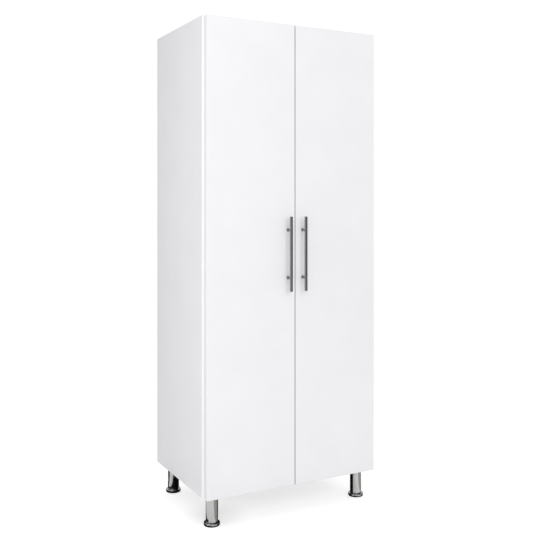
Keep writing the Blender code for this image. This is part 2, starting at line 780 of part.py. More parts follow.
def bar_mesh(side):
    """A round bar on end, with its ends just chamfered."""
    half, radius, chamfer = HANDLE_LENGTH / 2, HANDLE_BAR_RADIUS, HANDLE_END_CHAMFER
    profile = [
        (0, half),
        (radius - chamfer, half),
        (radius, half - chamfer),
        (radius, chamfer - half),
        (radius - chamfer, -half),
        (0, -half),
    ]
    return turned_mesh(f"{side}_handle_bar", profile, HANDLE_STEPS)


def post_mesh(side):
    """A short round post from the door to the bar, hollowed at its end to fit the bar."""
    bar_y = DOOR_FRONT_Y - HANDLE_STANDOFF
    post = rod_mesh(
        "post", (0, DOOR_FRONT_Y - SEAT_GAP - bar_y, 0), (0, 0, 0), HANDLE_POST_RADIUS, POST_STEPS
    )
    saddle = rod_mesh(
        "saddle",
        (0, 0, -2 * HANDLE_POST_RADIUS),
        (0, 0, 2 * HANDLE_POST_RADIUS),
        (HANDLE_BAR_RADIUS + SEAT_GAP) / cos(pi / HANDLE_STEPS),
        HANDLE_STEPS,
    )
    mesh = fused_mesh(f"{side}_handle_post", [post, ("DIFFERENCE", saddle)])
    shade_round(mesh)
    return mesh


def add_handle(side, door_axis):
    sign = SIDES[side]
    middle_z = FLOOR_TO_DOOR + HANDLE_CENTRE_ABOVE_DOOR_BOTTOM
    bar_y = DOOR_FRONT_Y - HANDLE_STANDOFF
    bar_x = sign * HANDLE_FROM_MIDDLE
    add_piece(
        f"{side}_handle_bar", bar_mesh(side), HANDLE_METAL, (bar_x, bar_y, middle_z), door_axis
    )
    mesh = post_mesh(side)
    for level, way in (("lower", -1), ("upper", 1)):
        place = (bar_x, bar_y, middle_z + way * HANDLE_POST_SPACING / 2)
        add_piece(f"{side}_handle_{level}_post", mesh, POST_METAL, place, door_axis)


def leg_mesh():
    """A fixing plate on a tube, with a guide for the stem in the tube's foot, about its top."""
    bore = STEM_RADIUS + STEM_CLEARANCE
    bottom = FOOT_RIM_HEIGHT + SEAT_GAP - LEG_TOP
    cap = -LEG_PLATE_THICKNESS - LEG_CAP_THICKNESS
    profile = [
        (0, 0),
        (LEG_PLATE_RADIUS, 0),
        (LEG_PLATE_RADIUS, -LEG_PLATE_THICKNESS),
        (LEG_RADIUS, -LEG_PLATE_THICKNESS),
        (LEG_RADIUS, bottom),
        (bore, bottom),
        (bore, bottom + LEG_GUIDE_HEIGHT),
        (LEG_RADIUS - LEG_WALL, bottom + LEG_GUIDE_HEIGHT),
        (LEG_RADIUS - LEG_WALL, cap),
        (0, cap),
    ]
    return turned_mesh("leg", profile)


def foot_mesh():
    """A flanged foot with a stem that runs up into the leg, about the floor."""
    profile = [
        (0, FOOT_RIM_HEIGHT + STEM_LENGTH),
        (STEM_RADIUS - STEM_CLEARANCE, FOOT_RIM_HEIGHT + STEM_LENGTH),
        (STEM_RADIUS, FOOT_RIM_HEIGHT + STEM_LENGTH - STEM_CLEARANCE),
        (STEM_RADIUS, FOOT_RIM_HEIGHT),
        (FOOT_RADIUS - FOOT_RIM_ROUND, FOOT_RIM_HEIGHT),
        (FOOT_RADIUS, FOOT_RIM_HEIGHT - FOOT_RIM_ROUND),
        (FOOT_RADIUS, FOOT_PAD_HEIGHT),
        (FOOT_RADIUS - FOOT_PAD_INSET, FOOT_PAD_HEIGHT),
        (FOOT_RADIUS - FOOT_PAD_INSET, 0),
        (0, 0),
    ]
    return turned_mesh("foot", profile)


def add_legs():
    leg, foot = leg_mesh(), foot_mesh()
    for row, leg_y in LEG_ROWS.items():
        for side, sign in SIDES.items():
            leg_x = sign * (CARCASE_WIDTH / 2 - LEG_FROM_SIDE)
            add_piece(f"{row}_{side}_leg", leg, LEG_METAL, (leg_x, leg_y, LEG_TOP))
            add_piece(f"{row}_{side}_foot", foot, FOOT_METAL, (leg_x, leg_y, 0))


def main():
    for side in SIDES:
        add_side_panel(side)
    add_level_boards()
    add_back()
    add_shelves()
    add_shelf_pins()
    for side in SIDES:
        link_axis = add_axis(f"{side}_outer_link_axis", plan(side, *OUTER_ARM_PIN))
        door_axis = add_axis(f"{side}_door_axis", plan(side, *OUTER_CUP_PIN), link_axis)
        inner_axis = add_axis(f"{side}_inner_link_axis", plan(side, *INNER_ARM_PIN))
        add_hinges(side, link_axis, door_axis, inner_axis)
        add_door(side, door_axis)
        add_handle(side, door_axis)
    add_legs()


main()
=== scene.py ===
"""The looks of a tall white cupboard with two slab doors, on four round metal legs.

Metres, +Z up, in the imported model's frame. The doors face -Y.
"""

import json
from math import cos, pi, radians, sin

import bmesh
import bpy
from mathutils import Matrix, Vector


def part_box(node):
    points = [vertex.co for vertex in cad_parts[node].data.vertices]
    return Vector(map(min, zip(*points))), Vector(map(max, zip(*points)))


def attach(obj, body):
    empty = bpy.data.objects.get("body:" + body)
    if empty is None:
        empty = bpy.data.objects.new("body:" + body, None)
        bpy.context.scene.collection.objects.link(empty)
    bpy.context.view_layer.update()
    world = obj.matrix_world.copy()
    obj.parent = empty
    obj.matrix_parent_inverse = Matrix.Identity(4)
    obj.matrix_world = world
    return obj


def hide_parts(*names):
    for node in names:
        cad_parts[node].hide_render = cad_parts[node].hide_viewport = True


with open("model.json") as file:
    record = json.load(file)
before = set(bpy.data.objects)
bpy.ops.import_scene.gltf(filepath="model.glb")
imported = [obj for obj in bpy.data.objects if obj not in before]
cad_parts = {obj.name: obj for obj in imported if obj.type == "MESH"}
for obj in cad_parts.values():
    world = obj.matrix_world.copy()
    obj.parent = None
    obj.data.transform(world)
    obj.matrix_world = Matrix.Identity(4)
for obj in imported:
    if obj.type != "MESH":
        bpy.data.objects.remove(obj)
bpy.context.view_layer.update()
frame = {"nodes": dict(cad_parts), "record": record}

SIDES = {"left": -1, "right": 1}
ROWS = ("front", "back")
HINGE_LEVELS = ("lower", "middle", "upper")
POST_LEVELS = ("lower", "upper")
UPWARD = (0, 0, 1)
DOWNWARD = (0, 0, -1)
FORWARD = (0, -1, 0)
BACKWARD = (0, 1, 0)

# Camera, from the fit to the photograph
CAMERA_X = -1.588
CAMERA_BEFORE_DOORS = 2.783
CAMERA_HEIGHT = 1.247
CAMERA_TURN = radians(-28.25)
CAMERA_LENS_MM = 51.8
CAMERA_SHIFT_Y = -0.1248

# Colours, as linear red, green and blue
DOOR_WHITE = (0.857, 0.850, 0.874)
BOARD_WHITE = (0.824, 0.819, 0.842)
SHELF_WHITE = (0.842, 0.840, 0.846)
BACK_WHITE = (0.797, 0.797, 0.798)
HANDLE_GREY = (0.232, 0.230, 0.225)
# The collars are the bar's nickel, given a lighter grey as painted light
COLLAR_PAINTED_LIGHT_GREY = (0.590, 0.586, 0.576)
NICKEL = (0.620, 0.610, 0.580)
LINK_STEEL = (0.560, 0.560, 0.560)
LEG_CHROME = (0.740, 0.738, 0.728)
FOOT_CHROME = (0.540, 0.538, 0.530)
BLACK_PLASTIC = (0.018, 0.018, 0.019)
WHITE_PLASTIC = (0.780, 0.780, 0.770)
BUMPER_GREY = (0.560, 0.570, 0.575)

# Board coats, as roughness, grain scale and grain depth
DOOR_COAT = (0.34, 900.0, 0.00007)
MELAMINE_COAT = (0.44, 1300.0, 0.00014)
BACK_COAT = (0.55, 500.0, 0.00014)

# Brush lines, as their scales along X, Y and Z and their depth
BAR_LINES = ((2600.0, 2600.0, 30.0), 0.00002)
POST_LINES = ((2600.0, 90.0, 2600.0), 0.00002)
LEG_LINES = ((900.0, 900.0, 8.0), 0.000004)

# Noise settings of the textures, and the middle part of a noise that is used
MOTTLING = {"scale": 7.0, "detail": 4.0}
GRAIN_DETAIL = 3.0
BRUSHING = {"scale": 1.0, "detail": 5.0, "roughness": 0.7}
BRUSH_CLOUDS = {"scale": 25.0, "detail": 3.0}
PLATING_CLOUDS = {"scale": 60.0, "detail": 4.0}
PLATING_SPECKS = {"scale": 900.0, "detail": 2.0}
MOULD_SPARKS = {"scale": 1800.0, "detail": 3.0}
MOULD_PATCHES = {"scale": 120.0, "detail": 3.0}
NOISE_LOW = 0.3
NOISE_HIGH = 0.7

# Shares of a finish's colour, where its texture is darkest and lightest
COAT_SHADES = (0.985, 1.01)
BRUSHED_SHADES = (0.88, 1.08)
PLATED_SHADES = (0.95, 1.03)
MOULDED_SHADES = (0.9, 1.1)

# How strongly brush lines colour the metal, where its clouds are thickest and thinnest
CLOUDED_LINES = (0.8, 1.0)

# What a texture adds to the roughness at its low and its high end
MOTTLED_SHEEN = (-0.02, 0.02)
GRAIN_SHEEN = (-0.03, 0.03)
BRUSHED_SHEEN = (-0.06, 0.08)
PLATED_SHEEN = (-0.03, 0.05)
MOULDED_SHEEN = (-0.05, 0.08)

# Bump strengths, with a depth where a finish doesn't bring its own
COAT_BUMP = 0.35
BRUSHED_BUMP = 0.5
PLATED_BUMP = (0.15, 0.00002)
MOULDED_BUMP = (0.4, 0.00005)

# The colour mix node's factor and its two colours
MIX_SOCKETS = (0, 6, 7)
MIX_RESULT = 2

# The boards' front edge bands with their seams, the bands lighter than the board partly as painted light; and
# the doors' upright edges darkened as painted shade, most of all in the gap between them
BAND_THICKNESS = 0.0008
BAND_SEAM = 0.00009
BAND_TONE_AND_PAINTED_LIGHT = 1.070
BAND_SMOOTHER = 0.08
SEAM_SHADE = 0.72
MEETING_EDGE = 0.0023
GAP_PAINTED_SHADE = 0.83
OUTER_EDGE = 0.0004
OUTER_EDGE_PAINTED_SHADE = 0.95

# Meshes
MERGE_DISTANCE = 0.0000005
SHARP_ANGLE = radians(35)
FILLET_STEPS = 4
FITTING_STEPS = 28

# How much further each copy of a fitting is turned about its axis, in radians
COPY_TURN = 0.9

# Screw heads, as radius and height, and their shape as shares of these
PLATE_SCREW = (0.0036, 0.0020)
CUP_SCREW = (0.0038, 0.0013)
ARM_SCREW = (0.0033, 0.0010)
LEG_SCREW = (0.0026, 0.0016)
HANDLE_BOLT = (0.0042, 0.0012)
HEAD_RIM = 0.45
HEAD_TOP = 0.62
HEAD_FILLET = 0.16
RECESS_REACH = 0.62
RECESS_WIDTH = 0.17
RECESS_TAPER = 0.72
RECESS_FLOOR = 0.30
RECESS_TOP = 2.0

# Low domes, as radius, height and the rim's share of the height
WASHER_HEIGHT = 0.0005
WASHER = (0.0060, WASHER_HEIGHT, 0.5)
BUMPER = (0.0045, 0.0016, 0.35)
CAP = (0.0088, 0.0011, 0.4)
DOME_LEDGE = 0.88
DOME_SHOULDER = (0.80, 0.92)
DOME_TOP = 0.40
DOME_FILLET = 0.3

# Where the small fittings sit
PLATE_SCREW_BACK = 0.037
PLATE_SCREW_SPREAD = 0.016
PLATE_SURFACE = 0.0019
ARM_SURFACE = 0.0140
ARM_SCREW_BACKS = (0.030, 0.052)
CUP_SCREW_SPREAD = 0.024
LEG_SCREW_CIRCLE = 0.028
LEG_SCREWS = 4
BUMPER_INSET = 0.014
CAP_FROM_SIDE = 0.034
CAP_ROWS = {"bottom_panel": (0.120, 0.120), "fixed_shelf": (0.070, 0.080), "top_panel": (0.070, 0.080)}

# Legs and feet
TUBE_STEPS = 96
TUBE_RADIUS = 0.024
TUBE_WALL = 0.0015
PLATE_THICKNESS = 0.003
PLATE_FILLET = 0.0006
INSERT_DEPTH = 0.020
INSERT_LIP = 0.0018
INSERT_LIP_INSET = 0.0004
INSERT_BORE_GAP = 0.0004
SMALL_FILLET = 0.0004
FOOT_GAP = 0.0003
PAD_HEIGHT = 0.002
PAD_INSET = 0.0015
FLANGE_FILLET = 0.0018
FLANGE_FILLET_STEPS = 6
STEM_RADIUS = 0.005

# The stem's thread. Its outline over one turn is in shares of the pitch, downwards, and of the depth, inwards
THREAD_PITCH = 0.00125
THREAD_DEPTH = 0.00075
THREAD_STEPS = 28
THREAD_TURNS = 20
THREAD_OUTLINE = ((0.0, 1), (0.12, 1), (0.44, 0), (0.56, 0), (0.88, 1), (1.0, 1))

# Handles
HANDLE_STEPS = 64
HANDLE_END_FILLET = 0.0007
POST_FILLET = 0.0003
COLLAR_RADIUS = 0.0070
COLLAR_HEIGHT = 0.0030
COLLAR_FILLET = 0.0006

# Studio floor and world
WHITE = (1.0, 1.0, 1.0, 1.0)
FLOOR_STEPS = 96
FLOOR_RADIUS = 3.2
FLOOR_SOLID_RADIUS = 0.9
FLOOR_CLEAR_RADIUS = 2.3
FLOOR_GREY = (0.66, 0.66, 0.66)
FLOOR_ROUGHNESS = 0.9
FLOOR_GLOW = 0.555
# Painted shadow on the floor behind the front left foot: how much less the floor glows, how far behind the
# foot its middle is, and its reach
FOOT_SHADE = 0.13
FOOT_SHADE_BEHIND = (0.040, 0.080)
FOOT_SHADE_REACH = (0.030, 0.145)
BOUNCE_GREY = (0.82, 0.82, 0.81)
BOUNCE_DROP = 0.0015
WORLD_LIGHT = 0.626
WORLD_SEEN = 1.02
RAY_KINDS = ("camera", "diffuse", "glossy", "transmission", "volume_scatter", "shadow")

# Cards that only reflections show, as painted reflections: dark ones for the shade under and round the
# cupboard, grey ones for a darker floor in front. Those on the floor have a name, a size, a middle and a
# shade
DARK_SHADE = 0.01
CONTACT_SHADE = 0.03
CONTACT_SHARE = 0.64
CARD_ROUGHNESS = 1.0
CARD_LIFT = 0.0004
OVER_MARGINS = (0.05, 0.02)
OVER_DROP = 0.004
FLOOR_CARDS = (
    ("card_under", (0.86, 0.55), (0.02, 0.085), DARK_SHADE),
    ("card_behind_left", (0.19, 0.22), (-0.505, 0.39), DARK_SHADE),
    ("card_front_middle", (0.44, 0.44), (-0.08, -0.40), 0.42),
    ("card_front_right", (0.60, 0.70), (0.70, -0.28), 0.38),
)

# Upright cards, painted dark reflections to the right of the cupboard, have a name, a size, a middle, a turn
# about the upright axis and a shade
UPRIGHT_CARDS = (
    ("card_right", (3.0, 3.0), (3.0, -1.2, 1.2), radians(90), 0.02),
    ("card_right_front", (3.2, 3.0), (2.2, -2.6, 1.2), radians(43), 0.02),
)

# Softboxes have a name, a place, a target, a size, a power in watts, and whether reflections show them
SOFTBOXES = (
    ("key", (-0.6, -4.5, 2.6), (0, -0.2, 1.1), (4.2, 3.2), 95, False),
    ("side", (-1.2, -0.42, 1.25), (-0.4, -0.12, 1.2), (0.4, 2.6), 4.5, True),
    ("overhead", (0, -0.5, 4.2), (0, -0.5, 0), (5.0, 5.0), 7, True),
    ("rear", (2.3, 1.8, 3.0), (0, 0.1, 0.9), (2.0, 1.6), 34, False),
)


def tint(colour, share):
    """A darker or lighter tone of a colour."""
    return tuple(channel * share for channel in colour)


class Finish:
    """A Principled material, with short calls for the nodes that give it its detail."""

    def __init__(self, name, colour, roughness, metallic=0.0):
        self.material = bpy.data.materials.new(name)
        self.material.use_nodes = True
        self.tree = self.material.node_tree
        self.shader = self.tree.nodes["Principled BSDF"]
        self.shader.inputs["Base Color"].default_value = (*colour, 1.0)
        self.shader.inputs["Roughness"].default_value = roughness
        self.shader.inputs["Metallic"].default_value = metallic
        self.place = self.tree.nodes.new("ShaderNodeTexCoord").outputs["Object"]

    def node(self, kind, *wires, **settings):
        """A node, with its settings and the sockets that feed it."""
        made = self.tree.nodes.new(kind)
        for name, value in settings.items():
            setattr(made, name, value)
        for socket, source in wires:
            if isinstance(source, bpy.types.NodeSocket):
                self.tree.links.new(source, made.inputs[socket])
            else:
                made.inputs[socket].default_value = source
        return made

    def noise(self, scale, detail, stretch=(1, 1, 1), roughness=0.5):
        """Noise over the object's own coordinates, after these are scaled along each axis."""
        vector = self.node("ShaderNodeMapping", ("Vector", self.place), ("Scale", stretch)).outputs[0]
        wires = [("Vector", vector), ("Scale", scale), ("Detail", detail), ("Roughness", roughness)]
        return self.node("ShaderNodeTexNoise", *wires).outputs["Fac"]

    def spread(self, source, low, high, start=NOISE_LOW, end=NOISE_HIGH):
        """The source between start and end, as a number between low and high."""
        limits = [("From Min", start), ("From Max", end), ("To Min", low), ("To Max", high)]
        return self.node("ShaderNodeMapRange", ("Value", source), *limits).outputs[0]

    def sheen(self, source, roughness, change):
        """A roughness that the source moves between the two ends of the change."""
        low, high = change
        return self.spread(source, roughness + low, roughness + high)

    def math(self, operation, first, second=0.0):
        """The result of a Math node. The second value is left out where the operation takes one."""
        return self.node("ShaderNodeMath", (0, first), (1, second), operation=operation).outputs[0]

    def axis(self, name):
        """One of the object's own coordinates."""
        return self.node("ShaderNodeSeparateXYZ", ("Vector", self.place)).outputs[name]

    def shades(self, source, dark, light):
        """A colour between dark and light, as the source goes from 0 to 1."""
        mix = self.tree.nodes.new("ShaderNodeMix")
        mix.data_type = "RGBA"
        factor, first, second = (mix.inputs[index] for index in MIX_SOCKETS)
        self.tree.links.new(source, factor)
        for socket, value in ((first, dark), (second, light)):
            if isinstance(value, bpy.types.NodeSocket):
                self.tree.links.new(value, socket)
            else:
                socket.default_value = (*value, 1.0)
        return mix.outputs[MIX_RESULT]

    def tones(self, source, colour, shares):
        """A colour between two shares of itself, as the source goes from 0 to 1."""
        dark, light = (tint(colour, share) for share in shares)
        return self.shades(source, dark, light)

    def bump(self, height, strength, distance):
        """A surface direction that follows the height."""
        wires = [("Height", height), ("Strength", strength), ("Distance", distance)]
        return self.node("ShaderNodeBump", *wires).outputs[0]

    def feed(self, **sockets):
        """Joins the given sources to the shader's sockets, named with underscores for spaces."""
        for name, source in sockets.items():
            self.tree.links.new(source, self.shader.inputs[name.replace("_", " ")])
        return self.material


def painted_board(name, colour, coat, band_y=None, outer_x=None):
    """A white coated board: faint mottling, a fine grain in the coat, and an uneven sheen.

    With band_y, the board has a smoother edge band on its front edge there, lighter partly in its own tone
    and partly as painted light, and the band's thin seam.
    With outer_x, it is a door that ends there: its upright edges are darkened as painted shade, most of all
    in the gap at the middle.
    """
    roughness, grain_scale, grain_depth = coat
    finish = Finish(name, colour, roughness)
    mottling = finish.spread(finish.noise(**MOTTLING), 0.0, 1.0)
    grain = finish.noise(grain_scale, GRAIN_DETAIL)
    relief = grain
    shade = finish.tones(mottling, colour, COAT_SHADES)
    sheen = finish.sheen(mottling, roughness, MOTTLED_SHEEN)
    if band_y is not None:
        depth = finish.math("SUBTRACT", finish.axis("Y"), band_y)
        on_board = finish.math("GREATER_THAN", depth, BAND_THICKNESS)
        from_seam = finish.math("ABSOLUTE", finish.math("SUBTRACT", depth, BAND_THICKNESS))
        seam = finish.math("LESS_THAN", from_seam, BAND_SEAM)
        # Painted light: the edge band is lighter than the board, partly its own tone, partly light that the
        # band would catch
        shade = finish.shades(on_board, tint(colour, BAND_TONE_AND_PAINTED_LIGHT), shade)
        shade = finish.shades(seam, shade, tint(colour, SEAM_SHADE))
        sheen = finish.math("SUBTRACT", sheen, finish.spread(on_board, BAND_SMOOTHER, 0.0, 0.0, 1.0))
        relief = finish.math("SUBTRACT", finish.math("MULTIPLY", grain, on_board), seam)
    # Painted shade: the doors' edges in the gap at the middle are darkened, and their outer edges a little
    if outer_x is not None:
        from_middle = finish.math("ABSOLUTE", finish.axis("X"))
        meeting = finish.math("LESS_THAN", from_middle, MEETING_EDGE)
        outside = finish.math("GREATER_THAN", from_middle, outer_x - OUTER_EDGE)
        shade = finish.shades(meeting, shade, tint(colour, GAP_PAINTED_SHADE))
        shade = finish.shades(outside, shade, tint(colour, OUTER_EDGE_PAINTED_SHADE))
    return finish.feed(
        Base_Color=shade,
        Roughness=finish.math("ADD", finish.spread(grain, *GRAIN_SHEEN), sheen),
        Normal=finish.bump(relief, COAT_BUMP, grain_depth),
    )


def brushed_metal(name, colour, lines, roughness):
    """Metal with fine brush lines along one axis."""
    stretch, line_depth = lines
    finish = Finish(name, colour, roughness, metallic=1.0)
    brushing = finish.noise(**BRUSHING, stretch=stretch)
    clouds = finish.spread(finish.noise(**BRUSH_CLOUDS), *CLOUDED_LINES)
    clouded = finish.math("MULTIPLY", finish.spread(brushing, 0.0, 1.0), clouds)
    return finish.feed(
        Base_Color=finish.tones(clouded, colour, BRUSHED_SHADES),
        Roughness=finish.sheen(brushing, roughness, BRUSHED_SHEEN),
        Normal=finish.bump(brushing, BRUSHED_BUMP, line_depth),
    )


def plated_metal(name, colour, roughness):
    """Smooth plating with faint clouding and a trace of handling."""
    finish = Finish(name, colour, roughness, metallic=1.0)
    clouds = finish.noise(**PLATING_CLOUDS)
    return finish.feed(
        Base_Color=finish.tones(finish.spread(clouds, 0.0, 1.0), colour, PLATED_SHADES),
        Roughness=finish.sheen(clouds, roughness, PLATED_SHEEN),
        Normal=finish.bump(finish.noise(**PLATING_SPECKS), *PLATED_BUMP),
    )


def moulded_plastic(name, colour, roughness):
    """Plastic with the fine spark texture of its mould."""
    finish = Finish(name, colour, roughness)
    sparks = finish.noise(**MOULD_SPARKS)
    patches = finish.spread(finish.noise(**MOULD_PATCHES), 0.0, 1.0)
    return finish.feed(
        Base_Color=finish.tones(patches, colour, MOULDED_SHADES),
        Roughness=finish.sheen(sparks, roughness, MOULDED_SHEEN),
        Normal=finish.bump(sparks, *MOULDED_BUMP),
    )


carcase_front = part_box("left_side_panel")[0].y
shelf_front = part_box("fixed_shelf")[0].y
doors_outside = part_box("right_door")[1].x

door_finish = painted_board("door_satin_white", DOOR_WHITE, DOOR_COAT, outer_x=doors_outside)
board_finish = painted_board("carcase_melamine", BOARD_WHITE, MELAMINE_COAT, band_y=carcase_front)
shelf_finish = painted_board("shelf_melamine", SHELF_WHITE, MELAMINE_COAT, band_y=shelf_front)
back_finish = painted_board("back_panel_lacquer", BACK_WHITE, BACK_COAT)
handle_finish = brushed_metal("handle_brushed_nickel", HANDLE_GREY, BAR_LINES, roughness=0.22)
post_finish = brushed_metal("handle_post_nickel", HANDLE_GREY, POST_LINES, roughness=0.22)
collar_finish = brushed_metal("handle_collar_nickel", COLLAR_PAINTED_LIGHT_GREY, POST_LINES, roughness=0.46)
hinge_finish = plated_metal("hinge_nickel", NICKEL, roughness=0.24)
link_finish = plated_metal("hinge_link_steel", LINK_STEEL, roughness=0.34)
pin_finish = plated_metal("shelf_pin_nickel", NICKEL, roughness=0.25)
leg_finish = brushed_metal("leg_chrome", LEG_CHROME, LEG_LINES, roughness=0.12)
foot_finish = plated_metal("foot_chrome", FOOT_CHROME, roughness=0.10)
zinc_finish = plated_metal("stem_zinc", LINK_STEEL, roughness=0.36)
black_finish = moulded_plastic("black_plastic", BLACK_PLASTIC, roughness=0.45)
cap_finish = moulded_plastic("cap_white_plastic", WHITE_PLASTIC, roughness=0.40)
bumper_finish = moulded_plastic("bumper_silicone", BUMPER_GREY, roughness=0.30)

FINISHES = {
    "carcase_board": board_finish,
    "shelf_board": shelf_finish,
    "back_panel_board": back_finish,
    "door_board": door_finish,
    "handle_nickel": handle_finish,
    "hinge_nickel": hinge_finish,
    "hinge_link_steel": link_finish,
    "shelf_pin_nickel": pin_finish,
    "leg_chrome": leg_finish,
    "foot_chrome": foot_finish,
}


def dress_cad_nodes():
    """Gives every CAD node the finish of its material slot."""
    for part in frame["record"]["subparts"]:
        mesh = frame["nodes"][part["node"]].data
        mesh.materials.clear()
        mesh.materials.append(FINISHES[part["material_slot"]])


def add_object(name, mesh, finish, body):
    """A piece of the cupboard that rides on a CAD body."""
    mesh.materials.clear()
    mesh.materials.append(finish)
    piece = bpy.data.objects.new(name, mesh)
    bpy.context.scene.collection.objects.link(piece)
    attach(piece, body)
    return piece


def to_mesh(name, shape):
    """A mesh from a bmesh, smooth but for its sharp edges."""
    bmesh.ops.remove_doubles(shape, verts=shape.verts, dist=MERGE_DISTANCE)
    bmesh.ops.recalc_face_normals(shape, faces=shape.faces)
    mesh = bpy.data.meshes.new(name)
    shape.to_mesh(mesh)
    shape.free()
    mesh.shade_smooth()
    mesh.set_sharp_from_angle(angle=SHARP_ANGLE)
    return mesh


def filleted(points, radius, steps=FILLET_STEPS):
    """A profile with each inner corner rounded, as far as its shorter side allows."""
    made = [Vector(points[0])]
    for before, corner, after in zip(points, points[1:], points[2:]):
        before, corner, after = Vector(before), Vector(corner), Vector(after)
        reach = min(radius, (before - corner).length / 2, (after - corner).length / 2)
        start = corner + (before - corner).normalized() * reach
        end = corner + (after - corner).normalized() * reach
        for step in range(steps + 1):
            t = step / steps
            made.append(start * (1 - t) ** 2 + corner * 2 * t * (1 - t) + end * t**2)
    made.append(Vector(points[-1]))
    return made


def leaning(axis):
    """The turn that takes +Z to an axis."""
    return Vector(UPWARD).rotation_difference(Vector(axis)).to_matrix().to_4x4()


def turned(name, profile, steps, place, axis=UPWARD):
    """A profile of (radius, height) turned about an axis through a place."""
    matrix = Matrix.Translation(place) @ leaning(axis)
    shape = bmesh.new()
    rings = []
    for radius, height in profile:
        angles = [2 * pi * step / steps for step in range(steps)]
        points = [Vector((radius * cos(angle), radius * sin(angle), height)) for angle in angles]
        rings.append([shape.verts.new(matrix @ point) for point in points])
    for upper, lower in zip(rings, rings[1:]):
        for step in range(steps):
            after = (step + 1) % steps
            shape.faces.new((upper[step], upper[after], lower[after], lower[step]))
    return to_mesh(name, shape)


def copies(name, template, places, axis):
    """One mesh of the template at each place, along the axis, each turned a little further."""
    shape = bmesh.new()
    for index, place in enumerate(places):
        before = len(shape.verts)
        shape.from_mesh(template)
        matrix = Matrix.Translation(place) @ leaning(axis) @ Matrix.Rotation(COPY_TURN * index, 4, "Z")
        bmesh.ops.transform(shape, matrix=matrix, verts=shape.verts[before:])
    return to_mesh(name, shape)


def add_handle(side):
    """A round bar with softened ends, on two posts that run into it, each with a collar at the door."""
    body = f"{side}_door_leaf"
    low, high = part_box(f"{side}_handle_bar")
    radius = (high.x - low.x) / 2
    half = (high.z - low.z) / 2
    middle = (low + high) / 2
    outline = [(0, half), (radius, half), (radius, -half), (0, -half)]
    bar = turned(f"{side}_bar", filleted(outline, HANDLE_END_FILLET), HANDLE_STEPS, middle)
    piece = add_object(f"{side}_handle_bar_detail", bar, handle_finish, body)
    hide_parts(f"{side}_handle_bar")
    bases = []
    for level in POST_LEVELS:
        node = f"{side}_handle_{level}_post"
        post_low, post_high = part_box(node)
        post_radius = (post_high.x - post_low.x) / 2
        post_z = (post_low.z + post_high.z) / 2
        length = post_high.y - middle.y
        outline = [(0, 0), (post_radius, 0), (post_radius, length), (0, length)]
        place = Vector((middle.x, middle.y, post_z))
        mesh = turned(node, filleted(outline, POST_FILLET), HANDLE_STEPS, place, BACKWARD)
        post = add_object(f"{node}_detail", mesh, post_finish, body)
        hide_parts(node)
        bases.append(Vector((middle.x, post_high.y, post_z)))
    outline = [(0, 0), (COLLAR_RADIUS, 0), (COLLAR_RADIUS, COLLAR_HEIGHT), (0, COLLAR_HEIGHT)]
    collar = turned("collar", filleted(outline, COLLAR_FILLET), HANDLE_STEPS, Vector())
    name = f"{side}_handle_collars"
    add_object(name, copies(name, collar, bases, FORWARD), collar_finish, body)


def add_leg(leg):
    """A chrome tube with its fixing plate, and a black insert with a bore for the foot's stem.

    Gives back the leg's axis, as a place at floor height, and the height of its lower end.
    """
    low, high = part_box(leg)
    bottom, top = low.z, high.z
    place = Vector(((low.x + high.x) / 2, (low.y + high.y) / 2, 0))
    plate_radius = (high.x - low.x) / 2
    tube_inside = TUBE_RADIUS - TUBE_WALL
    outline = [
        (0, top),
        (plate_radius, top),
        (plate_radius, top - PLATE_THICKNESS),
        (TUBE_RADIUS, top - PLATE_THICKNESS),
        (TUBE_RADIUS, bottom + INSERT_LIP),
        (tube_inside, bottom + INSERT_LIP),
        (tube_inside, top - PLATE_THICKNESS),
        (0, top - PLATE_THICKNESS),
    ]
    mesh = turned(leg, filleted(outline, PLATE_FILLET), TUBE_STEPS, place)
    piece = add_object(f"{leg}_tube", mesh, leg_finish, "root")
    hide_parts(leg)
    bore = STEM_RADIUS + INSERT_BORE_GAP
    lip_radius = TUBE_RADIUS - INSERT_LIP_INSET
    outline = [
        (bore, bottom + INSERT_DEPTH),
        (bore, bottom),
        (lip_radius, bottom),
        (lip_radius, bottom + INSERT_LIP),
        (tube_inside, bottom + INSERT_LIP),
        (tube_inside, bottom + INSERT_DEPTH),
        (bore, bottom + INSERT_DEPTH),
    ]
    mesh = turned(f"{leg}_insert", filleted(outline, SMALL_FILLET), TUBE_STEPS, place)
    add_object(f"{leg}_insert", mesh, black_finish, "root")
    return place, bottom


def thread_mesh(name, place, radius, top, bottom):
    """A rod with a screw thread as one swept ridge, from its top down to its bottom."""
    shape = bmesh.new()
    turns = (top - bottom) / THREAD_PITCH
    rows = []
    for step in range(int(turns * THREAD_STEPS) + 1):
        angle = 2 * pi * step / THREAD_STEPS
        height = top - THREAD_PITCH * step / THREAD_STEPS
        way = Vector((cos(angle), sin(angle), 0))
        row = []
        for down, inward in THREAD_OUTLINE:
            lift = Vector((0, 0, height - THREAD_PITCH * down))
            row.append(shape.verts.new(place + way * (radius - THREAD_DEPTH * inward) + lift))
        rows.append(row)
    for first, second in zip(rows, rows[1:]):
        for index in range(len(first) - 1):
            shape.faces.new((first[index], first[index + 1], second[index + 1], second[index]))
    return to_mesh(name, shape)


